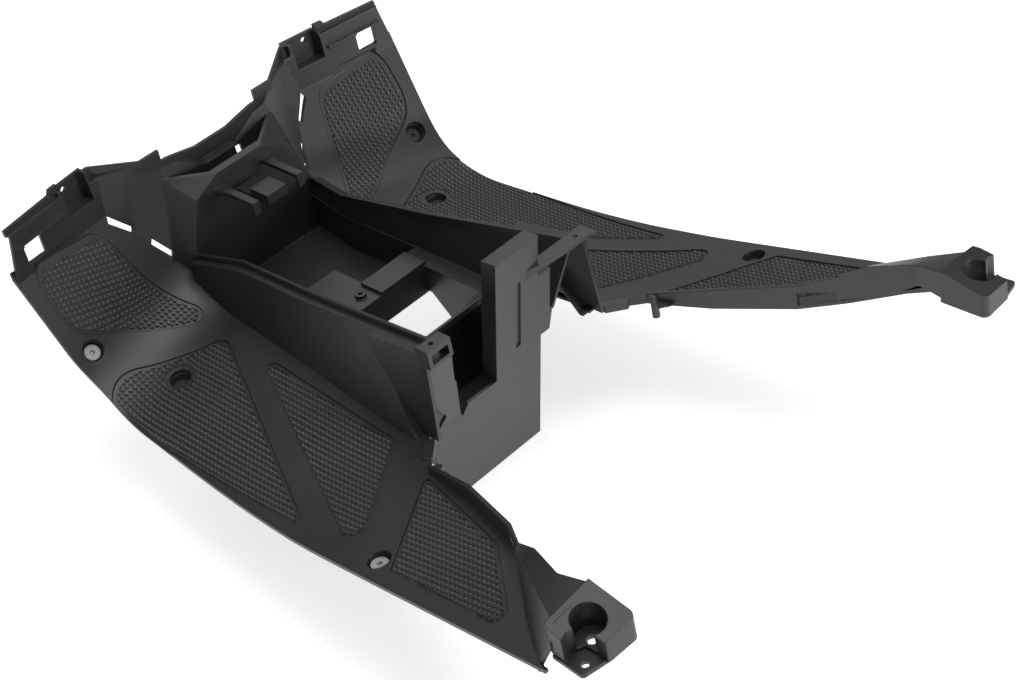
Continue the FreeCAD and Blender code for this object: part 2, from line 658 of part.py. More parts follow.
def upper_flange():
    """Upright flange at the front, with its ledge, bead and pocket."""
    face = sketch("flange_profile", "XZ", "300", ledge_line("ledge_gauge") + (
        ("-1", "saddle_top"),
        ("saddle_half", "saddle_top"),
        ("saddle_side_x", "saddle_side_top"),
        ("shoulder_x", "saddle_side_top"),
        ("shoulder_x", "shoulder_top"),
        ("flange_x", "shoulder_top"),
        ("flange_corner_x", "corner_top"),
        ("tab_x", "end_top"),
        ("tab_x + 2", "tab_top"),
        ("tab_x + tab_wide", "tab_top"),
        ("tab_x + tab_wide + 2", "end_top + 0.5"),
        ("flange_end_x", "end_top"),
    ))
    body = upright("flange_body", "ledge_top - 9", "tab_top + 9", flange_plan("skin", "0"))
    flange = common("upper_flange", body, prism("flange_outline", face, FORWARD, "200"))
    under = tuple(reversed(ledge_line("ledge_gauge")))
    section = sketch("ledge_profile", "XZ", "300", ledge_line("0") + under)
    plan = upright("ledge_plan", "ledge_top - 9", "tab_top", (
        ("-1", "flange_y + skin / 2"),
        ("flange_x", "flange_y + skin / 2"),
        ("flange_corner_x", "flange_corner_y + skin / 2"),
        ("flange_end_x", "flange_end_y + skin / 2"),
        ("end_head_x + 1", "end_head_y"),
        ("corner_head_x + 1.5", "corner_head_y - 0.5"),
        ("bend_head_x + 1.5", "bend_y"),
        ("fold_head_x + 5", "middle_head_y - 1.9"),
        ("-1", "middle_head_y - 1.9"),
    ))
    ledge = common("ledge", plan, prism("ledge_slab", section, FORWARD, "200"))
    strip = wall_band("bead_band", "skin / 2", "-bead_reach")
    bead = common("bead", strip, box("bead_limit", ("bead_x", "bead_long"), ("300", "200"),
                                     ("bead_top - ledge_gauge", "ledge_gauge")))
    slope = "(flange_corner_y - flange_end_y) / (flange_end_x - flange_corner_x)"
    near_y = "flange_corner_y - (pocket_x - flange_corner_x) * %s" % slope
    far_y = "flange_corner_y - (pocket_x + pocket_wide - flange_corner_x) * %s" % slope
    bulge = upright("pocket", "pocket_z - skin", "corner_top", (
        ("pocket_x - skin", near_y + " - 3.5"),
        ("pocket_x + pocket_wide + skin", far_y + " - 3.5"),
        ("pocket_x + pocket_wide + skin", far_y + " + pocket_deep + skin"),
        ("pocket_x - skin", near_y + " + pocket_deep + skin"),
    ))
    hollow = upright("pocket_hollow", "pocket_z", "corner_top + 9", (
        ("pocket_x", near_y + " - 6"),
        ("pocket_x + pocket_wide", far_y + " - 6"),
        ("pocket_x + pocket_wide", far_y + " + pocket_deep"),
        ("pocket_x", near_y + " + pocket_deep"),
    ))
    return [flange, ledge, bead, bulge], hollow


def wall_openings():
    """Strap window, eyelet and the slots along the crease of ramp and wall."""
    window = box("window", ("window_x", "window_wide"), ("360", "50"), ("window_z", "window_high"))
    eyelet_plan = DOC.addObject("Part::Cylinder", "eyelet")
    bind(eyelet_plan, "Radius", "eyelet_radius")
    bind(eyelet_plan, "Height", "50")
    eyelet_plan.Placement = Placement(Vector(), Rotation(RIGHT, -90))
    bind(eyelet_plan, "Placement.Base.x", "eyelet_x")
    bind(eyelet_plan, "Placement.Base.y", "370")
    bind(eyelet_plan, "Placement.Base.z", "eyelet_z")
    upper = prism("upper_slot", sketch("upper_slot_face", "XZ", "376", (
        ("104.5", "73.5"),
        ("90", "58.5"),
        ("88", "62"),
        ("102.5", "78.5"),
    )), FORWARD, "40")
    lower = prism("lower_slot", sketch("lower_slot_face", "XZ", "364", (
        ("81.2", "44"),
        ("72", "29.6"),
        ("70.5", "34"),
        ("79.5", "48.5"),
    )), FORWARD, "40")
    return [window, eyelet_plan, upper, lower]


def bulkhead():
    """Half of the hollow boss between the tunnel and the front wall."""
    def section(place, along, inset):
        rear = place == "rear"
        crest = "ridge_half" if rear else "ridge_front_half"
        crest_top = "ridge_top" if rear else "ridge_front_top"
        brow = "ridge_brow_half" if rear else "ridge_front_half + 0.6"
        brow_top = "ridge_brow_z" if rear else "ridge_front_top - 1"
        foot = "ridge_foot_half" if rear else "ridge_front_foot"
        return sketch("boss_%s_%s" % (place, "in" if inset != "0" else "out"), "XZ", along, (
            ("-1", "%s - %s" % (crest_top, inset)),
            ("%s - %s" % (crest, inset), "%s - %s" % (crest_top, inset)),
            ("%s - %s" % (brow, inset), "%s - %s" % (brow_top, inset)),
            ("%s - %s" % (foot, inset), "ridge_foot_z"),
            ("%s - %s" % (foot, inset), "deck_top - deck_gauge"),
            ("-1", "deck_top - deck_gauge"),
        ))
    outer = loft("boss_outer", section("rear", "ridge_y", "0"), section("front", "ridge_front_y", "0"))
    inner = loft("boss_inner", section("rear", "ridge_y + skin", "skin"),
                 section("front", "ridge_front_y + 2", "skin"))
    case = upright("trough_case", "shelf_top - skin", "ridge_top + 5", (
        ("-1", "ridge_y + 1"),
        ("ridge_half + 5", "ridge_y + 1"),
        ("ridge_front_half + 3", "ridge_front_y - 1"),
        ("-1", "ridge_front_y - 1"),
    ))
    trough = upright("trough", "shelf_top", "ridge_top + 9", (
        ("-1", "ridge_y + ridge_gauge"),
        ("ridge_half + 2.7", "ridge_y + ridge_gauge"),
        ("ridge_front_half - 3", "ridge_front_y + 1"),
        ("-1", "ridge_front_y + 1"),
    ))
    shell = cut("boss_shell", outer, inner)
    return cut("boss", fuse("boss_whole", shell, common("trough_walls", outer, case)), trough)


def tunnel_side():
    """One side of the tunnel: its inner wall, stepped rim and sloping skin."""
    stations = (
        ("front", "ridge_y + 1", "tub_front_half"),
        ("waist", "rim_waist_y", "well_half - 1"),
        ("mid", "rim_mid_y", "well_half"),
        ("rear", "rim_rear_y", "well_half"),
    )
    inner, outer = [], []
    for word, along, base in stations:
        rim, top, foot = "rim_%s_x" % word, "rim_%s_z" % word, "foot_%s_x" % word
        edge = "%s + rim_gauge + rim_seat" % rim
        seat = "%s - rim_step" % top
        inner.append(sketch("tub_" + word, "XZ", along, (
            (rim, top),
            (rim + " + rim_gauge", top),
            (rim + " + rim_gauge", seat + " - skin"),
            (base + " + rim_gauge", "deck_top - deck_gauge"),
            (base, "deck_top - deck_gauge"),
            (rim, seat + " - skin"),
        )))
        outer.append(sketch("skin_" + word, "XZ", along, (
            (rim, seat),
            (edge, seat),
            (foot, "foot_z"),
            (foot + " - skin", "foot_z"),
            (edge + " - skin", seat + " - skin"),
            (rim, seat + " - skin"),
        )))
    return loft("tub_side", *inner), loft("tunnel_skin", *outer)


def slant(name, ahead, start, size):
    """A slab across X whose rear face runs along the slanting edge, or set off ahead of it."""
    slope = "(brace_top_y - brace_foot_y) / (brace_top - brace_foot)"

    def edge(level, shift):
        return "brace_foot_y + (%s - brace_foot) * %s + %s" % (level, slope, shift), level
    section = sketch(name + "_section", "YZ", start, (
        edge("rim_rear_z + 9", "0") if ahead else ("0", "rim_rear_z + 9"),
        edge("foot_z - 25", "0") if ahead else ("0", "foot_z - 25"),
        edge("foot_z - 25", ahead or "0"),
        edge("rim_rear_z + 9", ahead or "0"),
    ))
    return prism(name, section, RIGHT, size)


def side_rear():
    """Upright rear stretch of the tunnel's side, and the brace where the sloping skin ends."""
    def section(word, along, rim, top, face):
        return sketch("side_" + word, "XZ", along, (
            (rim, top),
            (face, top),
            ("side_foot_x", "side_low_base"),
            ("side_foot_x - skin", "side_low_base"),
            (face + " - skin", "%s - skin" % top),
            (rim, "%s - skin" % top),
        ))

    def filling(word, along, rim, top, foot):
        return sketch("filling_" + word, "XZ", along, (
            (rim, top),
            (rim + " + rim_gauge + rim_seat", top),
            (foot, "foot_z"),
            (rim, "foot_z"),
        ))
    share = "(rim_mid_y - side_front_y) / (rim_mid_y - rim_rear_y)"
    rim = "rim_mid_x + (rim_rear_x - rim_mid_x) * %s" % share
    top = "rim_mid_z + (rim_rear_z - rim_mid_z) * %s - rim_step" % share
    foot = "foot_mid_x + (foot_rear_x - foot_mid_x) * %s" % share
    rear_top = "rim_rear_z - rim_step"
    side = loft("side", section("front", "side_front_y", rim, top, "side_front_x"),
                section("rear", "rim_rear_y", "rim_rear_x", rear_top, "side_rear_x"))
    block = loft("side_filling", filling("front", "side_front_y", rim, top, foot),
                 filling("rear", "rim_rear_y", "rim_rear_x", rear_top, "foot_rear_x"))
    open_part = common("side_open", side, slant("behind_slant", None, "40", "90"))
    covered = common("side_covered", side, block)
    notch = box("side_notch", ("side_front_x - 10", "40"), ("side_step_y", "90"),
                ("side_low_base - 9", "side_base - side_low_base + 9"))
    low = cut("side_low", fuse("side_both", open_part, covered), notch)
    brace = common("brace", block, slant("brace_slab", "skin * 1.4", "side_front_x - skin", "40"))
    strip = box("foot_strip", ("side_foot_x - 8", "6"),
                ("rim_rear_y + 8", "side_step_y - rim_rear_y - 8"), ("side_low_base", "2"))
    return [low, brace, strip]


def neck_web():
    """Web and hanging pin where the platform's inner edge meets the tunnel's side."""
    web = upright("neck_web", "foot_z - 1", "inner_z - 1", (
        ("90", "56.5"),
        ("90", "64"),
        ("97", "61.6"),
        ("110", "49", "3"),
        ("103", "45"),
    ))
    pin = drum("pin", ("113", "27", "0"), "3", "-15", "19")
    gusset = prism("gusset", sketch("gusset_side", "YZ", "113.5", (
        ("27", "-9"),
        ("27", "0"),
        ("11", "0"),
    )), RIGHT, "4.5")
    return [web, pin, gusset]


def lean_point(level, shift="0"):
    """A point on the leaning rear wall's outer face, or set off from it along Y."""
    return "back_top_y + (back_top - (%s)) * tan(back_lean) + %s" % (level, shift), level


def lean_slab(name, behind, ahead, top="130", foot="-130"):
    """A slab across the whole width that leans with the rear wall."""
    section = sketch(name + "_section", "YZ", "-120", (
        lean_point(top, behind),
        lean_point(foot, behind),
        lean_point(foot, ahead),
        lean_point(top, ahead),
    ))
    return prism(name, section, RIGHT, "240")


def rear_wall():
    """The leaning rear wall of the battery box with its two columns."""
    outline = prism("rear_outline", sketch("rear_profile", "XZ", "20", (
        ("tower_left", "back_top"),
        ("tower_right", "back_top"),
        ("tower_right", "back_step_top"),
        ("back_right", "back_step_top"),
        ("back_right", "back_step_z", "3"),
        ("box_right", "back_step_z"),
        ("box_right", "box_base", "3"),
        ("box_left + 12.5", "box_base"),
        ("box_left + 3.5", "box_base + 8"),
        ("box_left - 19.5", "-55"),
        ("box_left - 25.5", "-26"),
        ("box_left - 11.5", "-10"),
        ("box_left", "notch_z + 2"),
        ("box_left + 5", "notch_z - 8"),
        ("box_left + 11", "notch_z + 1"),
        ("tower_left", "notch_z"),
    )), FORWARD, "120")
    panel = common("rear_panel", lean_slab("rear_slab", "0", "skin"), outline)
    tower = lean_slab("tower_slab", "0", "tower_deep")
    cheek = box("tower_cheek", ("tower_left", "skin"), ("20", "130"), ("notch_z", "back_top - notch_z"))
    brow = box("tower_brow", ("tower_left", "tower_right - tower_left"), ("20", "130"),
               ("back_top - tower_bevel - skin", "tower_bevel + skin"))
    flank = box("tower_flank", ("tower_right - skin", "skin"), ("20", "130"),
                ("back_step_top", "back_top - back_step_top"))
    head = common("tower", tower, fuse("tower_parts", cheek, brow, flank))
    post_face = sketch("post_section", "YZ", "-120", (
        ("post_y", "post_top"),
        ("post_foot_y", "notch_z"),
        ("post_foot_y + skin", "notch_z"),
        ("post_y + skin", "post_top"),
    ))
    post = common("post", prism("post_slab", post_face, RIGHT, "90"), prism("post_outline", sketch(
        "post_profile", "XZ", "20", (
            ("post_left", "post_top"),
            ("post_right", "post_top"),
            ("box_left", "notch_z + 2"),
            ("box_left", "notch_z"),
            ("box_left - 15.9", "notch_z"),
            ("box_left - 11.5", "-10"),
            ("post_left + 7", "18"),
        )), FORWARD, "120"))
    cap = box("post_cap", ("post_left", "post_right - post_left"), ("post_y", "post_deep"),
              ("post_top - post_head", "post_head"))
    bracket = upright("bracket", "post_top - skin", "post_top", (
        ("tower_right - 14", "back_top_y + 8"),
        ("tower_right - 11", "back_top_y + 6"),
        ("arm_right - 35", "post_y - 0.7", "40"),
        ("arm_right - 4", "post_y - 2.5"),
        ("arm_right", "post_y - 4.5"),
        ("arm_right", "post_y + post_deep"),
        ("tower_right - 1", "post_y + post_deep"),
    ))
    rib_plan = upright("bracket_rib_plan", "60", "post_top", (
        ("tower_right - 15", "back_top_y + 8.5"),
        ("tower_right - 11", "back_top_y + 6.2"),
        ("arm_right - 26", "post_y - 1"),
        ("arm_right - 26", "post_y + 1"),
        ("tower_right - 11", "back_top_y + 8.5"),
    ))
    rib_side = prism("bracket_rib_side", sketch("bracket_rib_face", "XZ", "20", (
        ("tower_right - 15", "post_top - 7"),
        ("arm_right - 26", "post_top - skin"),
        ("arm_right - 26", "post_top"),
        ("tower_right - 15", "post_top"),
    )), FORWARD, "80")
    rib = common("bracket_rib", rib_plan, rib_side)
    behind = lean_slab("behind_wall", "-80", "0")
    return [panel, head, post, cap, bracket, rib], behind


def rear_openings():
    """Window and eyes in the columns, groove in the wall."""
    window = box("post_window", ("post_left + 3.5", "15.5"), ("30", "40"), ("post_top - 12.5", "8"))
    near_eye = drum("near_eye", ("-eye_x", "eye_y", "post_top"), "eye_radius", "-10", "20")
    far_eye = drum("far_eye", ("eye_x", "eye_y - 1", "post_top"), "eye_radius", "-10", "20")
    strip = box("groove_strip", ("12", "5"), ("20", "120"), ("4", "63.5"))
    groove = common("groove", lean_slab("groove_slab", "-5", "1.6"), strip)
    bevel = sketch("bevel_profile", "YZ", "tower_left - 1", (
        lean_point("back_top", "3"),
        lean_point("back_top + 10", "3"),
        lean_point("back_top + 10", "tower_deep + 9"),
        lean_point("back_top - tower_bevel", "tower_deep + 9"),
    ))
    corner = prism("bevel", bevel, RIGHT, "tower_right - tower_left + 2")
    return [window, near_eye, far_eye, groove, corner]


def battery_box():
    """Deep box for the battery, open at the top, and the open well ahead of it."""
    def trough(name, inset, base):
        return prism(name, sketch(name + "_section", "XZ", "20", (
            ("box_left - box_flare + %s" % inset, "deck_top"),
            ("box_left + %s" % inset, "notch_z"),
            ("box_left + box_draft + %s" % inset, base),
            ("box_right - %s" % inset, base),
            ("box_right - %s" % inset, "back_step_z"),
            ("back_right - %s" % inset, "back_step_z"),
            ("back_right + box_flare - %s" % inset, "deck_top"),
        )), FORWARD, "well_rear_y + 4 - 20 - %s" % inset)
    outer = trough("box_outer", "0", "box_base")
    inner = trough("box_inner", "box_wall", "box_floor")
    throat = box("well_outer", ("well_left - box_wall", "well_right - well_left + 2 * box_wall"),
                 ("well_rear_y", "well_y - well_rear_y + box_wall"), ("box_base", "deck_top - box_base"))
    throat_inner = box("well_inner", ("well_left", "well_right - well_left"),
                       ("well_rear_y - 4", "well_y - well_rear_y + 4"), ("box_floor", "100"))
    profile = prism("box_profile", sketch("box_side", "YZ", "-120", (
        lean_point("deck_top"),
        lean_point("box_base"),
        ("box_front + box_wall", "box_base"),
        ("box_front + box_wall", "box_floor"),
        ("box_front + 19", "-25"),
        ("well_y - 3", "well_foot_z"),
        ("well_y + box_wall", "well_foot_z"),
        ("well_y + box_wall", "deck_top"),
    )), RIGHT, "240")
    shell = common("box_solid", fuse("box_outers", outer, throat), profile)
    cavity = prism("cavity_profile", sketch("cavity_side", "YZ", "-120", (
        lean_point("deck_top + 9", "-3"),
        lean_point("box_floor", "-3"),
        ("box_front", "box_floor"),
        ("box_front", "box_front_top"),
        ("box_front + box_wall", "box_front_top"),
        ("box_front + box_wall", "box_base - 9"),
        ("well_y", "box_base - 9"),
        ("well_y", "deck_top + 9"),
    )), RIGHT, "240")
    room = common("box_room", fuse("box_inners", inner, throat_inner), cavity)
    under = prism("under_profile", sketch("under_side", "YZ", "box_left + box_draft + box_wall", (
        lean_point("box_floor - box_wall", "skin"),
        lean_point("box_base - 9", "skin"),
        ("well_rear_y + 4 - box_wall", "box_base - 9"),
        ("well_rear_y + 4 - box_wall", "box_floor - box_wall"),
    )), RIGHT, "box_right - box_left - box_draft - 2 * box_wall")
    front_under = box("front_under", ("well_left", "well_right - well_left"),
                      ("well_rear_y", "box_front - well_rear_y"),
                      ("box_base - 9", "box_floor - box_wall - box_base + 9"))
    return cut("box_shell", shell, fuse("box_voids", room, under, front_under))


def deck():
    """Deck in the tunnel, with the well's mouth, the raised bar, the cross bar and the pit."""
    plate = upright("deck_plate", "deck_top - deck_gauge", "deck_top", (
        ("well_half + 1", "well_rear_y"),
        ("well_half + 1", "well_y + bar_deep"),
        ("deck_step_x", "well_y + bar_deep"),
        ("deck_step_x", "pit_y"),
        ("-well_half - 1", "pit_y"),
        ("-well_half - 1", "well_rear_y"),
    ))
    mouth = box("well_mouth", ("well_left", "well_right - well_left"),
                ("well_rear_y - 5", "well_y - well_rear_y + 5"), ("deck_top - 9", "18"))
    raised = box("raised_bar", ("bar_left", "bar_right - bar_left"), ("well_y", "bar_deep"),
                 ("deck_top - deck_gauge", "bar_top - deck_top + deck_gauge"))
    peg = drum("peg", ("peg_x", "peg_y", "deck_top"), "peg_radius", "-2", "bar_top - deck_top + 2")
    cross = box("cross_bar", ("well_left - box_wall", "well_right - well_left + 2 * box_wall"),
                ("well_rear_y", "cross_deep"), ("deck_top - 5", "5"))

    def pit_plan(inset):
        rear_x = "well_half + rim_gauge - %s" % inset
        waist_x = "well_half - 1 + rim_gauge - %s" % inset
        front_x = "tub_front_half + rim_gauge - %s" % inset
        step_x = "deck_step_x - skin + %s" % inset
        step_y = "well_y + bar_deep - skin + %s" % inset
        rear_y = "pit_y - skin + %s" % inset
        front_y = "ridge_y + skin - %s" % inset
        return (
            (rear_x, step_y),
            (waist_x, "rim_waist_y"),
            (front_x, front_y),
            ("-(%s)" % front_x, front_y),
            ("-(%s)" % waist_x, "rim_waist_y"),
            ("-(%s)" % rear_x, rear_y),
            (step_x, rear_y),
            (step_x, step_y),
        )
    block = upright("pit_block", "pit_floor - deck_gauge", "deck_top", pit_plan("0"))
    hollow = upright("pit_hollow", "pit_floor", "deck_top + 9", pit_plan("skin"))
    return [cut("deck", plate, mouth), raised, peg, cross, cut("pit", block, hollow)]


def bulkhead_fittings():
    """Hooks and the catch that stand off the bulkhead towards the rear."""
    catch = box("catch", ("-catch_wide / 2 + 1", "catch_wide"), ("catch_y", "catch_long"),
                ("catch_top - catch_high", "catch_high"))
    tray = box("catch_tray", ("-catch_wide / 2 + 1", "catch_wide"),
               ("catch_y + catch_long - 2", "ridge_y - catch_y - catch_long + 4"),
               ("catch_top - catch_high", "skin"))
    fittings = [catch, tray]
    for name, side in (("far", "1"), ("near", "-1")):
        inner = "%s * (hook_x - hook_wide / 2)" % side
        outer = "%s * (hook_x + hook_wide / 2)" % side
        root = "%s * (hook_x - hook_wide / 2 + hook_root)" % side
        fittings.append(upright(name + "_hook", "hook_z", "hook_z + hook_gauge", (
            (inner, "hook_y"),
            (inner, "ridge_y + 1"),
            (root, "ridge_y + 1"),
            (outer, "ridge_y - 14"),
            (outer, "hook_y"),
        )))
        fittings.append(upright(name + "_hook_tip", "hook_z - hook_drop", "hook_z + 1", (
            (inner, "hook_y"),
            (inner, "hook_y + skin"),
            (outer, "hook_y + skin"),
            (outer, "hook_y"),
        )))
    return fittings


def curb():
    """Upturned inner edge of the platform, behind the tunnel."""
    plan = upright("curb_plan", "-20", "60", (
        ("neck_x", "neck_y"),
        ("curb_x", "curb_y"),
        ("curb_mid_x", "curb_mid_y"),
        ("curb_end_x", "curb_end_y"),
        ("curb_end_x + curb_gauge", "curb_end_y - 2"),
        ("curb_mid_x + curb_gauge", "curb_mid_y + 1"),
        ("curb_x + curb_gauge", "curb_y + 1"),
        ("neck_x + curb_gauge", "neck_y + 1"),
    ))
    below = floor_layer("curb_skin", "-60", "floor_gauge")
    profile = prism("curb_profile", sketch("curb_side", "YZ", "90", (
        ("neck_y + 3", "-15"),
        ("neck_y + 3", "inner_z + 4"),
        ("curb_y", "curb_top"),
        ("curb_mid_y", "curb_mid_top"),
        ("curb_end_y - 3", "curb_end_top"),
        ("curb_end_y - 3", "-15"),
    )), RIGHT, "90")
    slot = box("curb_slot", ("curb_mid_x - 9", "40"), ("curb_end_y + 2", "curb_slot"),
               ("curb_slot_z", "curb_slot_high"))
    wall = common("curb_wall", plan, below)
    return cut("curb", common("curb_trim", wall, profile), slot)


def rear_arm():
    """Hollow riser from the platform up to the bolt block."""
    def station(word, place, inset):
        along, x, top, shoulder, drop, foot = place
        return sketch("arm_%s_%s" % (word, "in" if inset != "0" else "out"), "XZ", along, (
            ("%s + %s" % (x, inset), "%s - %s" % (top, inset)),
            ("%s - %s * 0.6" % (shoulder, inset), "%s - %s - %s" % (top, drop, inset)),
            ("%s - %s" % (foot, inset), "20"),
            ("%s - %s" % (foot, inset), "8 - %s" % inset),
            ("%s + %s" % (x, inset), "8 - %s" % inset),
        ))
    places = (
        ("root", ("curb_end_y + 2", "arm_x", "curb_end_top + 1", "arm_x + crest + skin * 1.6", "6",
                  "arm_x + 9")),
        ("low", ("arm_low_y", "arm_low_x", "arm_low_top", "arm_low_x + 11", "5", "arm_low_x + 20")),
        ("high", ("arm_high_y", "arm_high_x", "arm_high_top", "arm_high_x + 18", "4", "arm_high_x + 33")),
        ("end", ("arm_end_y", "arm_end_x", "arm_top", "arm_outer_x - 3", "3", "arm_foot_x")),
    )
    outer = loft("arm_outer", *[station(word, place, "0") for word, place in places])
    inner = loft("arm_inner", *[station(word, place, "skin") for word, place in places])
    plan = upright("arm_plan", "0", "80", (
        ("curb_end_x - 3", "curb_end_y + 5"),
        ("curb_end_x + 5", "curb_end_y"),
        ("heel_x - 6", "heel_y + 18"),
        ("heel_x + 9", "heel_y - 4"),
        ("block_outer + 1", "arm_end_y + 1"),
        ("block_outer + 1", "arm_end_y - 2"),
        ("arm_end_x - 2", "arm_end_y - 2"),
    ))
    relief_plan = upright("arm_relief_plan", "-9", "80", (
        ("arm_x - 9", "curb_end_y + 9"),
        ("arm_x + skin + 1", "curb_end_y + 9"),
        ("arm_low_x + skin + 1", "arm_low_y"),
        ("arm_high_x + skin + 1", "arm_high_y"),
        ("arm_high_x + skin + 1", "-240"),
        ("arm_x - 9", "-240"),
    ))
    relief_side = prism("arm_relief_side", sketch("arm_side", "YZ", "arm_x - 9", (
        ("curb_end_y + 9", "-9"),
        ("curb_end_y + 9", "18"),
        ("-151", "35.5"),
        ("-166", "44.7"),
        ("-240", "38"),
        ("-240", "-9"),
    )), RIGHT, "60")
    below = common("arm_relief", relief_plan, relief_side)
    shell = cut("arm_shell", common("arm_trim", outer, plan), inner)
    return cut("arm", shell, below)


def bolt_block():
    """Block with the deep bolt recess, and the flange at its tip."""
    outer = upright("block_body", "block_base", "block_top + 6", (
        ("block_x", "block_front"),
        ("block_x", "block_y", "5"),
        ("203", "block_y + 1"),
        ("block_outer + 1", "-202"),
        ("block_outer", "-190"),
        ("block_outer - 2", "block_front"),
    ))

    def slope(word, across):
        base = "block_top - (%s - block_x) * tan(block_roll)" % across
        front = "%s + 20 * tan(block_pitch)" % base
        back = "%s - 60 * tan(block_pitch)" % base
        return sketch("block_roof_" + word, "YZ", across, (
            ("block_front + 20", front),
            ("block_front + 20", "block_top + 20"),
            ("block_front - 60", "block_top + 20"),
            ("block_front - 60", back),
        ))
    roof = loft("block_roof", slope("in", "block_x - 10"), slope("out", "block_outer + 20"))
    recess = drum("block_recess", ("cup_x", "cup_y", "cup_seat"), "cup_big", "0", "40")
    bore = drum("block_bore", ("cup_x", "cup_y", "cup_seat"), "cup_hole", "-20", "40")
    gate = upright("block_gate", "tip_top", "80", (
        ("cup_x + 6", "block_y - 2"),
        ("cup_x + 6", "cup_y"),
        ("block_outer - 5", "cup_y + 4"),
        ("block_outer + 9", "cup_y + 1"),
        ("block_outer + 9", "block_y - 2"),
    ))
    tip = upright("tip", "tip_top - tip_gauge", "tip_top", (
        ("198", "block_y + 2"),
        ("tip_x", "tip_y", "3"),
        ("block_outer + 1", "-190"),
        ("198", "-190"),
    ))
    tip_bore = drum("tip_bore", ("tip_hole_x", "tip_hole_y", "tip_top"), "tip_hole", "-20", "30")
    body = cut("block", fuse("block_whole", outer, tip), roof)
    return body, [recess, bore, gate, tip_bore]


def finish(label, solid):
    """Check every object, then write the moulding to its STEP file."""
    DOC.recompute()
    faults = []
    for thing in DOC.Objects:
        if "Invalid" in thing.State or "Error" in thing.State:
            faults.append(thing.Name + " has an error")
        elif hasattr(thing, "Shape") and (thing.Shape.isNull() or not thing.Shape.isValid()):
            faults.append(thing.Name + " has no valid shape")
    if faults:
        raise RuntimeError(", ".join(faults))
    shape = solid.Shape
    solid.Label = label
    os.makedirs("parts", exist_ok=True)
    shape.exportStep("parts/%s.step" % label)
    print(label, len(shape.Solids), "solids", round(shape.Volume), "cubic mm")
    print(shape.BoundBox)


bosses, hollows = screw_cups()
flange_parts, pocket_hollow = upper_flange()
wall_extras, behind_wall = rear_wall()
block, block_voids = bolt_block()
ahead = wall_band("ahead_of_wall", "60", "skin / 2", "30")
under = floor_layer("under_ramp", "floor_gauge / 2", "150")
floor = cut("floor_trimmed", fuse("floor_all", floor_plate(), edge_lip(), *bosses), ahead)
wall = cut("wall_trimmed", lower_wall(), under)
lump = cut("bulkhead", bulkhead(), ahead)
tub_side, tunnel_skin = tunnel_side()
tub = cut("tub_trimmed", tub_side, behind_wall)
skin = cut("skin_trimmed", tunnel_skin, slant("skin_end", None, "40", "90"))
rear_side = fuse("rear_side", *side_rear())
voids = fuse("voids", grip_pads(), pocket_hollow, *hollows, *wall_openings(), *block_voids)
half = cut("half", fuse("half_all", floor, wall, lump, tub, skin, rear_side, curb(), rear_arm(), block,
                        *flange_parts, *neck_web()), voids)
slit = box("slit", ("slit_x", "slit_wide"), ("ridge_front_y - 15", "50"), ("shelf_top", "slit_high"))
peg_bore = drum("peg_bore", ("peg_x", "peg_y", "deck_top"), "peg_hole", "-9", "20")
whole = fuse("whole", half, mirrored("other_half", half), *wall_extras, battery_box(), *deck(),
             *bulkhead_fittings())
board = cut("board", whole, fuse("last_voids", slit, peg_bore, *rear_openings()))
bind(board, "Placement.Base.z", "cup_depth + floor_gauge / 2 - mid_bolt_z")
finish("floorboard", board)
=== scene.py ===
"""Scooter floorboard: finish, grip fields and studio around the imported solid."""

import bisect
import math

import bmesh
import bpy
from bpy.props import FloatProperty, FloatVectorProperty, PointerProperty
from mathutils import Matrix, Vector
from mathutils.bvhtree import BVHTree


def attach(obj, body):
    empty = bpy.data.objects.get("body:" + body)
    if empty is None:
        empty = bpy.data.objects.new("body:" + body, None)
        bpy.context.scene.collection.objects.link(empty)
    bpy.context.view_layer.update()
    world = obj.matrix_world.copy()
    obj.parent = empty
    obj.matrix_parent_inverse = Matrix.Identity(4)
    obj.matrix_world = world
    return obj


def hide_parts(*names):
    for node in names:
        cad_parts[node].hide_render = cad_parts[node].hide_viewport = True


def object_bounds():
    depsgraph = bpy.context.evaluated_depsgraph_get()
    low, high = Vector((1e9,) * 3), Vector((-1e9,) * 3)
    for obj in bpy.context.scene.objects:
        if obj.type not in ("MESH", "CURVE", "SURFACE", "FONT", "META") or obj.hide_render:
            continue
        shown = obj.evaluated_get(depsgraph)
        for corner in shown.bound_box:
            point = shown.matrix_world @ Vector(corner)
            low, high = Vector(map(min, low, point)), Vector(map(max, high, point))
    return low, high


bl_info = {
    "name": "Scooter Floorboard",
    "version": (1, 0, 0),
    "blender": (4, 5, 0),
    "location": "3D View > Sidebar > Floorboard",
    "description": "Moulded black finish, grip fields and studio for a scooter's floorboard",
    "category": "Object",
}

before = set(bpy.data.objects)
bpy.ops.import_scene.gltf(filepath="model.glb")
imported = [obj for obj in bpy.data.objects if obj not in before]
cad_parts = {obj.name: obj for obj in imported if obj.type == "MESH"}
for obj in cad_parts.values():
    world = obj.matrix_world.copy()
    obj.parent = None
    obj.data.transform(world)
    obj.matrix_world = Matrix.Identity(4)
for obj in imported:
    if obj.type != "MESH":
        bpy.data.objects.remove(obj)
CAD_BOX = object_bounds()
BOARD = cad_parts["floorboard"]
MM = 0.001
WELD = 1e-6

# The platform's section along Y, drawn at its inner and outer sides.
INNER_SIDE = {"x": 60, "level": -2.5, "rise": 45, "sweep": 500, "foot": 357}
OUTER_SIDE = {"x": 225, "level": -28.4, "rise": 134, "sweep": 1100, "foot": 319}
TAIL_SLOPE = math.radians(10.5)
RAMP_SLOPE = math.radians(62)
RAMP_BEND = 88
LIFT = 11.5

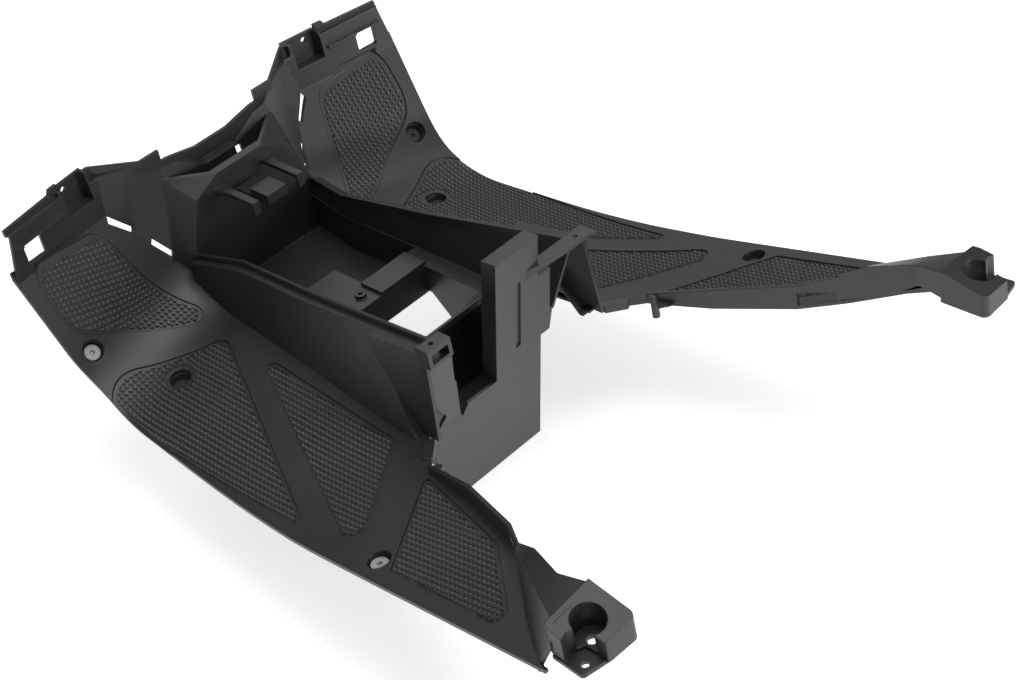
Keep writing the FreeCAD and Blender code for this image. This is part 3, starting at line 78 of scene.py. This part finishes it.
# Outlines of the grip pads in plan, each corner with its radius.
PADS = {
    "ramp": ((183, 385, 12), (115, 391, 16), (69.5, 312, 9), (140.5, 347, 0), (182.4, 358, 12)),
    "front": ((194, 341.5, 28), (89.5, 294.5, 12), (198.2, 76.5, 4.5)),
    "middle": ((88, 262, 6), (101, 86.6, 10), (208, 13.5, 11)),
    "rear": ((118.5, 36.5, 3), (150.6, -70, 20), (211.3, -145, 8), (202.6, -17.5, 5)),
}
FRONT_CUP = Vector((139, 294.5))
CUP_CLEARANCE = 12.5
PROBE_HEIGHT = 6

# Outline of the platform beside the pads, each corner with its radius.
PLATFORM = (
    (60, -200, 0),
    (60, 400, 0),
    (199, 400, 0),
    (199, 386, 0),
    (188, 328, 90),
    (209, 80, 0),
    (224.5, -187, 0),
)

# The shown copy of the solid. Its faces shade smoothly up to this many degrees between them.
MOULDING = "moulding"
CREASE = 22

# The foot of the arm's outer wall, which hangs below the heel, as boxes on the right side.
HEEL_TRIMS = (
    ((205, -200, -20), (240, -180, 34.9)),
    ((205, -180, -20), (240, -172.5, 33.4)),
    ((205, -172.5, -20), (240, -158, 30.9)),
    ((180, -158, -20), (214, -126.5, 30)),
)

# Screw recesses that hold a disc: middle of the mouth, lean, the disc's gauge, and whether it is steel.
DISCS = {
    "left_middle": ((-196.8, 0, -2), 0, 4.4, True),
    "left_ramp": ((-173.6, 347, 13.6), 46, 2.2, True),
    "right_ramp": ((173.6, 347, 13.6), 46, 1.4, False),
}
CUP_DEPTH = 8
DISC_SIZE = {"radius": 6.7, "chamfer": 0.4, "dimple": 2.0, "pit": 1.1, "dish": 1.5}

# Scale of the cloudy bloom on the plastic, and how far it shifts the roughness each way.
CLOUD_SCALE = 14
GLOSSIER = 0.04
DULLER = 0.05

# Lamps: place and width in metres, each aimed at the origin.
LAMPS = {
    "key": ((0.7, -2.2, 0.30), 0.7),
    "top": ((0.3, -0.2, 2.4), 1.8),
    "far": ((1.3, 1.5, 1.6), 1.2),
}
FLOOR_SIZE = 14
FLOOR_GAP = 0.001

# The photo's camera, solved from features that mirror each other.
LENS = 73.83
SENSOR = 36
CAMERA_PLACE = (-0.74973, -0.88714, 0.93657)
CAMERA_TURN = (
    (0.68661, 0.53000, -0.49765),
    (-0.70649, 0.32486, -0.62876),
    (-0.17158, 0.78330, 0.59749),
)


class FloorboardFinish(bpy.types.PropertyGroup):
    """Colour and surface of the moulded plastic."""
    colour: FloatVectorProperty(name="Colour", description="Colour of the plastic", subtype="COLOR",
                                size=4, min=0, max=1, default=(0.019, 0.019, 0.020, 1))
    grey: FloatVectorProperty(name="Bloom", description="Greyer colour of handled patches",
                              subtype="COLOR", size=4, min=0, max=1,
                              default=(0.027, 0.027, 0.028, 1))
    # The studs' colour is raised by this factor as a painted highlight.
    stud_highlight: FloatProperty(name="Painted highlight", description="How much lighter the studs are than the rest",
                        min=1, max=9, default=3.6)
    crispness: FloatProperty(name="Crispness", description="How much sharper the studs' edges are",
                             min=1, max=9, default=1.8)
    roughness: FloatProperty(name="Roughness", description="Roughness of the satin surface",
                             subtype="FACTOR", min=0, max=1, default=0.40)
    grain: FloatProperty(name="Grain", description="Size of the fine moulded grain",
                         subtype="DISTANCE", unit="LENGTH", default=0.0007)
    relief: FloatProperty(name="Relief", description="Depth of the fine moulded grain",
                          subtype="DISTANCE", unit="LENGTH", default=0.00006)
    edge: FloatProperty(name="Edge", description="Radius of the moulding's edges",
                        subtype="DISTANCE", unit="LENGTH", default=0.0009)


class FloorboardGrip(bpy.types.PropertyGroup):
    """Sizes of the grip pattern."""
    across: FloatProperty(name="Pitch across", description="Distance between studs from side to side",
                          subtype="DISTANCE", unit="LENGTH", default=0.00425)
    along: FloatProperty(name="Pitch along", description="Distance between studs from front to rear",
                         subtype="DISTANCE", unit="LENGTH", default=0.0045)
    gap: FloatProperty(name="Gap", description="Half the valley between two studs",
                       subtype="DISTANCE", unit="LENGTH", default=0.00035)
    height: FloatProperty(name="Height", description="Height of a stud above its field",
                          subtype="DISTANCE", unit="LENGTH", default=0.0018)
    root: FloatProperty(name="Root", description="How far a stud's foot is sunk into its field",
                        subtype="DISTANCE", unit="LENGTH", default=0.0003)
    blunt: FloatProperty(name="Blunt", description="Width of a stud's top as a share of its foot",
                         subtype="FACTOR", min=0.05, max=0.9, default=0.36)
    margin: FloatProperty(name="Margin", description="Plain groove between pad edge and studs",
                          subtype="DISTANCE", unit="LENGTH", default=0.0026)


class FloorboardStudio(bpy.types.PropertyGroup):
    """Floor, backdrop and lamps."""
    floor: FloatVectorProperty(name="Floor", description="Colour of the floor", subtype="COLOR",
                               size=4, min=0, max=1, default=(0.90, 0.90, 0.90, 1))
    glow: FloatProperty(name="Glow", description="Light that the floor gives off itself", min=0,
                        default=0.66)
    key: FloatProperty(name="Key", description="Power of the low lamp beyond the part's rear",
                       unit="POWER", default=23)
    top: FloatProperty(name="Top", description="Power of the lamp overhead",
                       unit="POWER", default=36)
    far: FloatProperty(name="Far", description="Power of the lamp that the tops reflect",
                       unit="POWER", default=6.5)
    air: FloatProperty(name="Air", description="Strength of the light from all round", min=0,
                       default=0.22)


def operate_on(obj):
    """Make one object the only selected and active one."""
    if bpy.context.object and bpy.context.object.mode != "OBJECT":
        bpy.ops.object.mode_set(mode="OBJECT")
    bpy.ops.object.select_all(action="DESELECT")
    obj.select_set(True)
    bpy.context.view_layer.objects.active = obj


def plastic_material(name, finish, highlight_lift=1, crispness=1):
    """Satin black plastic with a fine grain and faint grey bloom, lighter by a factor as a painted
    highlight, and crisper by a factor.
    """
    material = bpy.data.materials.new(name)
    material.use_nodes = True
    tree = material.node_tree
    tree.nodes.clear()
    output = tree.nodes.new("ShaderNodeOutputMaterial")
    shader = tree.nodes.new("ShaderNodeBsdfPrincipled")
    place = tree.nodes.new("ShaderNodeTexCoord")
    cloud = tree.nodes.new("ShaderNodeTexNoise")
    cloud.inputs["Scale"].default_value = CLOUD_SCALE
    cloud.inputs["Detail"].default_value = 3
    tint = tree.nodes.new("ShaderNodeMix")
    tint.data_type = "RGBA"
    tint.inputs["A"].default_value = [part * highlight_lift for part in finish.colour[:3]] + [1]
    tint.inputs["B"].default_value = [part * highlight_lift for part in finish.grey[:3]] + [1]
    polish = tree.nodes.new("ShaderNodeMapRange")
    polish.inputs["From Min"].default_value = 0.3
    polish.inputs["From Max"].default_value = 0.7
    polish.inputs["To Min"].default_value = finish.roughness - GLOSSIER
    polish.inputs["To Max"].default_value = finish.roughness + DULLER
    grain = tree.nodes.new("ShaderNodeTexNoise")
    grain.inputs["Scale"].default_value = 1 / finish.grain
    grain.inputs["Detail"].default_value = 2
    edge = tree.nodes.new("ShaderNodeBevel")
    edge.samples = 6
    edge.inputs["Radius"].default_value = finish.edge / crispness
    bump = tree.nodes.new("ShaderNodeBump")
    bump.inputs["Strength"].default_value = 0.6
    bump.inputs["Distance"].default_value = finish.relief
    link = tree.links.new
    link(place.outputs["Object"], cloud.inputs["Vector"])
    link(place.outputs["Object"], grain.inputs["Vector"])
    link(cloud.outputs["Fac"], tint.inputs["Factor"])
    link(tint.outputs["Result"], shader.inputs["Base Color"])
    link(cloud.outputs["Fac"], polish.inputs["Value"])
    link(polish.outputs["Result"], shader.inputs["Roughness"])
    link(edge.outputs["Normal"], bump.inputs["Normal"])
    link(grain.outputs["Fac"], bump.inputs["Height"])
    link(bump.outputs["Normal"], shader.inputs["Normal"])
    link(shader.outputs["BSDF"], output.inputs["Surface"])
    return material


def steel_material(name):
    """Pale steel with a fine grain."""
    material = bpy.data.materials.new(name)
    material.use_nodes = True
    tree = material.node_tree
    shader = tree.nodes["Principled BSDF"]
    shader.inputs["Base Color"].default_value = (0.33, 0.33, 0.32, 1)
    shader.inputs["Metallic"].default_value = 0.7
    shader.inputs["Roughness"].default_value = 0.42
    place = tree.nodes.new("ShaderNodeTexCoord")
    grain = tree.nodes.new("ShaderNodeTexNoise")
    grain.inputs["Scale"].default_value = 900
    bump = tree.nodes.new("ShaderNodeBump")
    bump.inputs["Strength"].default_value = 0.4
    bump.inputs["Distance"].default_value = 0.0001
    tree.links.new(place.outputs["Object"], grain.inputs["Vector"])
    tree.links.new(grain.outputs["Fac"], bump.inputs["Height"])
    tree.links.new(bump.outputs["Normal"], shader.inputs["Normal"])
    return material


def select_top():
    """Select the flat top face of the mesh in edit mode."""
    bpy.ops.mesh.select_all(action="DESELECT")
    mesh = bmesh.from_edit_mesh(bpy.context.object.data)
    highest = max(face.calc_center_median().z for face in mesh.faces)
    for face in mesh.faces:
        face.select_set(face.normal.z > 0.99 and face.calc_center_median().z > highest - WELD)
    bmesh.update_edit_mesh(bpy.context.object.data)


def turned_disc(name, gauge):
    """A turned disc about the origin, lying on Z 0, with a blind dimple in its face."""
    radius, chamfer = DISC_SIZE["radius"] * MM, DISC_SIZE["chamfer"] * MM
    dimple, pit, dish = DISC_SIZE["dimple"] * MM, DISC_SIZE["pit"] * MM, DISC_SIZE["dish"] * MM
    body = gauge * MM - chamfer
    bpy.ops.object.select_all(action="DESELECT")
    bpy.ops.mesh.primitive_cylinder_add(vertices=48, radius=radius, depth=body)
    disc = bpy.context.object
    disc.name = name
    disc.data.name = name
    disc.data.transform(Matrix.Translation((0, 0, body / 2)))
    bpy.ops.object.mode_set(mode="EDIT")
    select_top()
    bpy.ops.mesh.inset(thickness=chamfer, depth=chamfer, use_even_offset=False)
    bpy.ops.mesh.inset(thickness=radius - chamfer - dimple, use_even_offset=False)
    bpy.ops.mesh.inset(thickness=dimple - pit, depth=-dish, use_even_offset=False)
    bpy.ops.object.mode_set(mode="OBJECT")
    return disc


def section_height(side, y):
    """Height of the floor's section at a place along Y, in millimetres."""
    start = side["rise"]
    reach = side["sweep"] * math.tan(TAIL_SLOPE / 2)
    if y < start - reach * math.cos(TAIL_SLOPE):
        return side["level"] + (start - y) * math.tan(TAIL_SLOPE)
    if y < start + reach:
        return side["level"] + side["sweep"] - math.sqrt(side["sweep"] ** 2 - (start + reach - y) ** 2)
    reach = RAMP_BEND * math.tan(RAMP_SLOPE / 2)
    if y < side["foot"] - reach:
        return side["level"]
    if y < side["foot"] + reach * math.cos(RAMP_SLOPE):
        return side["level"] + RAMP_BEND - math.sqrt(RAMP_BEND ** 2 - (y - side["foot"] + reach) ** 2)
    return side["level"] + (y - side["foot"]) * math.tan(RAMP_SLOPE)


def floor_height(x, y):
    """Height of the banked floor in plan, in millimetres."""
    across = (abs(x) - INNER_SIDE["x"]) / (OUTER_SIDE["x"] - INNER_SIDE["x"])
    blend = {key: INNER_SIDE[key] * (1 - across) + OUTER_SIDE[key] * across for key in INNER_SIDE}
    return section_height(blend, y) + LIFT


def rounded_outline(corners, steps=6):
    """The corners of a pad as a closed line, with each corner rounded."""
    line = []
    for index, (x, y, radius) in enumerate(corners):
        spot = Vector((x, y))
        back = (Vector(corners[index - 1][:2]) - spot).normalized()
        ahead = (Vector(corners[(index + 1) % len(corners)][:2]) - spot).normalized()
        half = back.angle(ahead) / 2
        centre = spot + (back + ahead).normalized() * (radius / math.sin(half))
        first = spot + back * (radius / math.tan(half)) - centre
        last = spot + ahead * (radius / math.tan(half)) - centre
        for step in range(steps + 1):
            spoke = first.lerp(last, step / steps)
            line.append(centre + spoke.normalized() * radius)
    return line


def nearest_side(line, point):
    """How far a point lies inside a closed line, the nearest spot on it, and the way inwards there."""
    turning = sum(line[index - 1].cross(end) for index, end in enumerate(line))
    nearest, spot, inwards, inside = math.inf, None, None, False
    for index, end in enumerate(line):
        start = line[index - 1]
        run = end - start
        if run.length < 1e-6:
            continue
        if (start.y > point.y) != (end.y > point.y):
            crossing = start.x + (point.y - start.y) / (end.y - start.y) * run.x
            inside = inside != (point.x < crossing)
        along = max(0, min(1, (point - start).dot(run) / run.length_squared))
        foot = start + run * along
        if (point - foot).length < nearest:
            nearest, spot = (point - foot).length, foot
            inwards = Vector((-run.y, run.x)).normalized() * (1 if turning > 0 else -1)
    return (nearest if inside else -nearest), spot, inwards


def clipped(outline, spot, inwards, margin):
    """The part of a convex outline that lies more than a margin beyond a line."""
    depths = [(point - spot).dot(inwards) - margin for point in outline]
    kept = []
    for index, point in enumerate(outline):
        before, depth = depths[index - 1], depths[index]
        if (before > 0) != (depth > 0):
            kept.append(outline[index - 1].lerp(point, before / (before - depth)))
        if depth > 0:
            kept.append(point)
    return kept


def slope_lengths(x, low_y, high_y, step=0.25):
    """Places along Y with the length of the floor's surface up to each of them."""
    places, lengths = [low_y], [0]
    height = floor_height(x, low_y)
    while places[-1] < high_y:
        following = floor_height(x, places[-1] + step)
        lengths.append(lengths[-1] + math.hypot(step, following - height))
        places.append(places[-1] + step)
        height = following
    return places, lengths


def place_at(places, lengths, length):
    """Place along Y that lies a given length up the surface."""
    index = min(max(bisect.bisect_left(lengths, length), 1), len(lengths) - 1)
    share = (length - lengths[index - 1]) / (lengths[index] - lengths[index - 1])
    return places[index - 1] + share * (places[index] - places[index - 1])


def stud_outline(cell, borders):
    """One cell of the pattern, clipped where it meets the pad's border."""
    centre = sum(cell, Vector((0, 0))) / len(cell)
    reach = (cell[0] - centre).length
    for line, margin in borders:
        depth, spot, inwards = nearest_side(line, centre)
        if depth < margin - reach:
            return []
        if depth < margin + reach:
            cell = clipped(cell, spot, inwards, margin)
    away = centre - FRONT_CUP
    if away.length < CUP_CLEARANCE + reach:
        cell = clipped(cell, FRONT_CUP, away.normalized(), CUP_CLEARANCE)
    return cell


def surface_point(tree, x, y):
    """Place and normal of the moulding's upper surface, in metres."""
    start = Vector((x, y, floor_height(x, y) + PROBE_HEIGHT)) * MM
    place, normal, _, _ = tree.ray_cast(start, Vector((0, 0, -1)))
    return place, normal


def add_stud(mesh, tree, outline, side, grip):
    """A small blunt pyramid on a clipped cell, left out where nothing carries it."""
    centre = sum(outline, Vector((0, 0))) / len(outline)
    low, high = [], []
    for point in outline:
        place, normal = surface_point(tree, side * point.x, point.y)
        blunt = centre.lerp(point, grip.blunt)
        top, top_normal = surface_point(tree, side * blunt.x, blunt.y)
        if place is None or top is None:
            return
        low.append(mesh.verts.new(place - normal * grip.root))
        high.append(mesh.verts.new(top + top_normal * grip.height))
    mesh.faces.new(high)
    mesh.faces.new(list(reversed(low)))
    for index in range(len(low)):
        mesh.faces.new((low[index - 1], low[index], high[index], high[index - 1]))


def grip_field(name, corners, side, grip, material, tree):
    """Rows of small studs laid on one pad's floor.

    The studs are made in bmesh, because each is clipped to the pad's border and follows the floor.
    """
    line = rounded_outline(corners)
    borders = ((line, grip.margin / MM), (rounded_outline(PLATFORM), grip.margin / MM))
    low_x, high_x = min(p.x for p in line), max(p.x for p in line)
    low_y, high_y = min(p.y for p in line), max(p.y for p in line)
    places, lengths = slope_lengths((low_x + high_x) / 2, low_y, high_y)
    across, along, gap = grip.across / MM, grip.along / MM, grip.gap / MM
    mesh = bmesh.new()
    for row in range(math.ceil(lengths[-1] / along)):
        near = place_at(places, lengths, row * along + gap)
        far = place_at(places, lengths, (row + 1) * along - gap)
        for column in range(math.ceil((high_x - low_x) / across)):
            left = low_x + column * across + gap
            right = low_x + (column + 1) * across - gap
            cell = [Vector(spot) for spot in ((left, near), (right, near), (right, far), (left, far))]
            outline = stud_outline(cell, borders)
            if len(outline) > 2:
                add_stud(mesh, tree, outline, side, grip)
    bmesh.ops.recalc_face_normals(mesh, faces=mesh.faces)
    data = bpy.data.meshes.new(name)
    mesh.to_mesh(data)
    mesh.free()
    field = bpy.data.objects.new(name, data)
    bpy.context.scene.collection.objects.link(field)
    data.materials.append(material)
    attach(field, "root")
    return field


def trim(target, low, high):
    """Cut a box out of a mesh. Corners in millimetres."""
    bpy.ops.mesh.primitive_cube_add(size=1)
    cutter = bpy.context.object
    low, high = Vector(low) * MM, Vector(high) * MM
    cutter.data.transform(Matrix.Translation((low + high) / 2) @ Matrix.Diagonal((*(high - low), 1)))
    operate_on(target)
    cut = target.modifiers.new("trim", "BOOLEAN")
    cut.operation = "DIFFERENCE"
    cut.solver = "EXACT"
    cut.object = cutter
    bpy.ops.object.modifier_apply(modifier=cut.name)
    bpy.data.objects.remove(cutter)


class FLOORBOARD_OT_moulding(bpy.types.Operator):
    """Cut the solid's heel corners clean and give it a satin black finish"""
    bl_idname = "floorboard.moulding"
    bl_label = "Moulding"

    def execute(self, context):
        moulding = BOARD.copy()
        moulding.data = BOARD.data.copy()
        moulding.name = MOULDING
        context.scene.collection.objects.link(moulding)
        operate_on(moulding)
        bpy.ops.mesh.customdata_custom_splitnormals_clear()
        bpy.ops.object.mode_set(mode="EDIT")
        bpy.ops.mesh.select_all(action="SELECT")
        bpy.ops.mesh.remove_doubles(threshold=WELD)
        bpy.ops.object.mode_set(mode="OBJECT")
        for side in (-1, 1):
            for low, high in HEEL_TRIMS:
                low_x, high_x = sorted((side * low[0], side * high[0]))
                trim(moulding, (low_x, *low[1:]), (high_x, *high[1:]))
        bpy.ops.object.shade_smooth_by_angle(angle=math.radians(CREASE), keep_sharp_edges=False)
        moulding.data.materials.clear()
        finish = context.scene.floorboard_finish
        moulding.data.materials.append(plastic_material("Moulded plastic", finish))
        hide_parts("floorboard")
        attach(moulding, "root")
        return {"FINISHED"}


class FLOORBOARD_OT_discs(bpy.types.Operator):
    """Lay the turned discs in the screw recesses that the photo shows filled"""
    bl_idname = "floorboard.discs"
    bl_label = "Discs"

    def execute(self, context):
        steel = steel_material("Turned steel")
        plastic = plastic_material("Disc plastic", context.scene.floorboard_finish)
        for word, (spot, tilt, gauge, bright) in DISCS.items():
            disc = turned_disc("disc_" + word, gauge)
            turn = Matrix.Rotation(math.radians(tilt), 4, "X")
            seat = turn @ Vector((0, 0, -CUP_DEPTH))
            place = (Vector(spot) + Vector((0, 0, LIFT)) + seat) * MM
            disc.data.transform(Matrix.Translation(place) @ turn)
            disc.data.materials.append(steel if bright else plastic)
            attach(disc, "root")
        return {"FINISHED"}


class FLOORBOARD_OT_grip_fields(bpy.types.Operator):
    """Lay the studded grip pattern on the pads of both platforms"""
    bl_idname = "floorboard.grip_fields"
    bl_label = "Grip fields"

    def execute(self, context):
        grip = context.scene.floorboard_grip
        finish = context.scene.floorboard_finish
        # The studs get a lighter copy of the plastic, a painted highlight.
        material = plastic_material("Grip plastic", finish, finish.stud_highlight, finish.crispness)
        tree = BVHTree.FromObject(bpy.data.objects[MOULDING], context.evaluated_depsgraph_get())
        for pad, corners in PADS.items():
            for side, hand in ((-1, "left"), (1, "right")):
                field = grip_field("grip_%s_%s" % (pad, hand), corners, side, grip, material, tree)
                if not field.data.polygons:
                    raise RuntimeError("grip field %s is empty" % field.name)
        return {"FINISHED"}


def soft_lamp(name, place, size, power):
    """A square area lamp aimed at the origin."""
    data = bpy.data.lights.new(name, "AREA")
    data.shape = "SQUARE"
    data.size = size
    data.energy = power
    lamp = bpy.data.objects.new(name, data)
    bpy.context.scene.collection.objects.link(lamp)
    lamp.location = place
    lamp.rotation_euler = (-Vector(place)).to_track_quat("-Z", "Y").to_euler()
    return lamp


def pale_world(strength):
    """Even light from all round, which the camera itself sees as plain white."""
    world = bpy.data.worlds.new("Studio air")
    bpy.context.scene.world = world
    world.use_nodes = True
    tree = world.node_tree
    tree.nodes.clear()
    output = tree.nodes.new("ShaderNodeOutputWorld")
    seen = tree.nodes.new("ShaderNodeBackground")
    seen.inputs["Strength"].default_value = 1
    light = tree.nodes.new("ShaderNodeBackground")
    light.inputs["Strength"].default_value = strength
    path = tree.nodes.new("ShaderNodeLightPath")
    mix = tree.nodes.new("ShaderNodeMixShader")
    seen.inputs["Color"].default_value = (1, 1, 1, 1)
    light.inputs["Color"].default_value = (1, 1, 1, 1)
    tree.links.new(path.outputs["Is Camera Ray"], mix.inputs["Fac"])
    tree.links.new(light.outputs["Background"], mix.inputs[1])
    tree.links.new(seen.outputs["Background"], mix.inputs[2])
    tree.links.new(mix.outputs["Shader"], output.inputs["Surface"])


class FLOORBOARD_OT_studio(bpy.types.Operator):
    """Set up the pale floor, the lamps and the camera"""
    bl_idname = "floorboard.studio"
    bl_label = "Studio"

    def execute(self, context):
        scene = context.scene
        studio = scene.floorboard_studio
        bpy.ops.object.select_all(action="DESELECT")
        bpy.ops.mesh.primitive_plane_add(size=FLOOR_SIZE, location=(0, 0, CAD_BOX[0][2] - FLOOR_GAP))
        floor = context.object
        floor.name = "studio_floor"
        paint = bpy.data.materials.new("Pale floor")
        paint.use_nodes = True
        shader = paint.node_tree.nodes["Principled BSDF"]
        shader.inputs["Base Color"].default_value = studio.floor
        shader.inputs["Roughness"].default_value = 0.9
        shader.inputs["Emission Color"].default_value = (1, 1, 1, 1)
        shader.inputs["Emission Strength"].default_value = studio.glow
        floor.data.materials.append(paint)
        for word, (place, size) in LAMPS.items():
            soft_lamp(word + "_lamp", place, size, getattr(studio, word))
        pale_world(studio.air)
        camera_data = bpy.data.cameras.new("camera")
        camera_data.sensor_width = SENSOR
        camera_data.lens = LENS
        camera_data.clip_start = 0.05
        camera = bpy.data.objects.new("camera", camera_data)
        scene.collection.objects.link(camera)
        camera.matrix_world = Matrix.Translation(CAMERA_PLACE) @ Matrix(CAMERA_TURN).to_4x4()
        scene.camera = camera
        scene.view_settings.view_transform = "Standard"
        return {"FINISHED"}


class FLOORBOARD_PT_panel(bpy.types.Panel):
    """Lists the steps that finish the floorboard"""
    bl_label = "Floorboard"
    bl_idname = "FLOORBOARD_PT_panel"
    bl_space_type = "VIEW_3D"
    bl_region_type = "UI"
    bl_category = "Floorboard"

    def draw(self, context):
        layout = self.layout
        for step in STEPS:
            layout.operator(step.bl_idname)
        for group in ("floorboard_finish", "floorboard_grip", "floorboard_studio"):
            settings = getattr(context.scene, group)
            box = layout.box()
            for field in settings.bl_rna.properties.keys():
                if field not in ("rna_type", "name"):
                    box.prop(settings, field)


STEPS = (FLOORBOARD_OT_moulding, FLOORBOARD_OT_discs, FLOORBOARD_OT_grip_fields, FLOORBOARD_OT_studio)
SETTINGS = {
    "floorboard_finish": FloorboardFinish,
    "floorboard_grip": FloorboardGrip,
    "floorboard_studio": FloorboardStudio,
}


def register():
    for group in SETTINGS.values():
        bpy.utils.register_class(group)
    for word, group in SETTINGS.items():
        setattr(bpy.types.Scene, word, PointerProperty(type=group))
    for step in STEPS:
        bpy.utils.register_class(step)
    bpy.utils.register_class(FLOORBOARD_PT_panel)


def unregister():
    bpy.utils.unregister_class(FLOORBOARD_PT_panel)
    for step in reversed(STEPS):
        bpy.utils.unregister_class(step)
    for word, group in SETTINGS.items():
        delattr(bpy.types.Scene, word)
        bpy.utils.unregister_class(group)


def main():
    register()
    bpy.ops.floorboard.moulding()
    bpy.ops.floorboard.discs()
    bpy.ops.floorboard.grip_fields()
    bpy.ops.floorboard.studio()


if __name__ == "__main__":
    main()
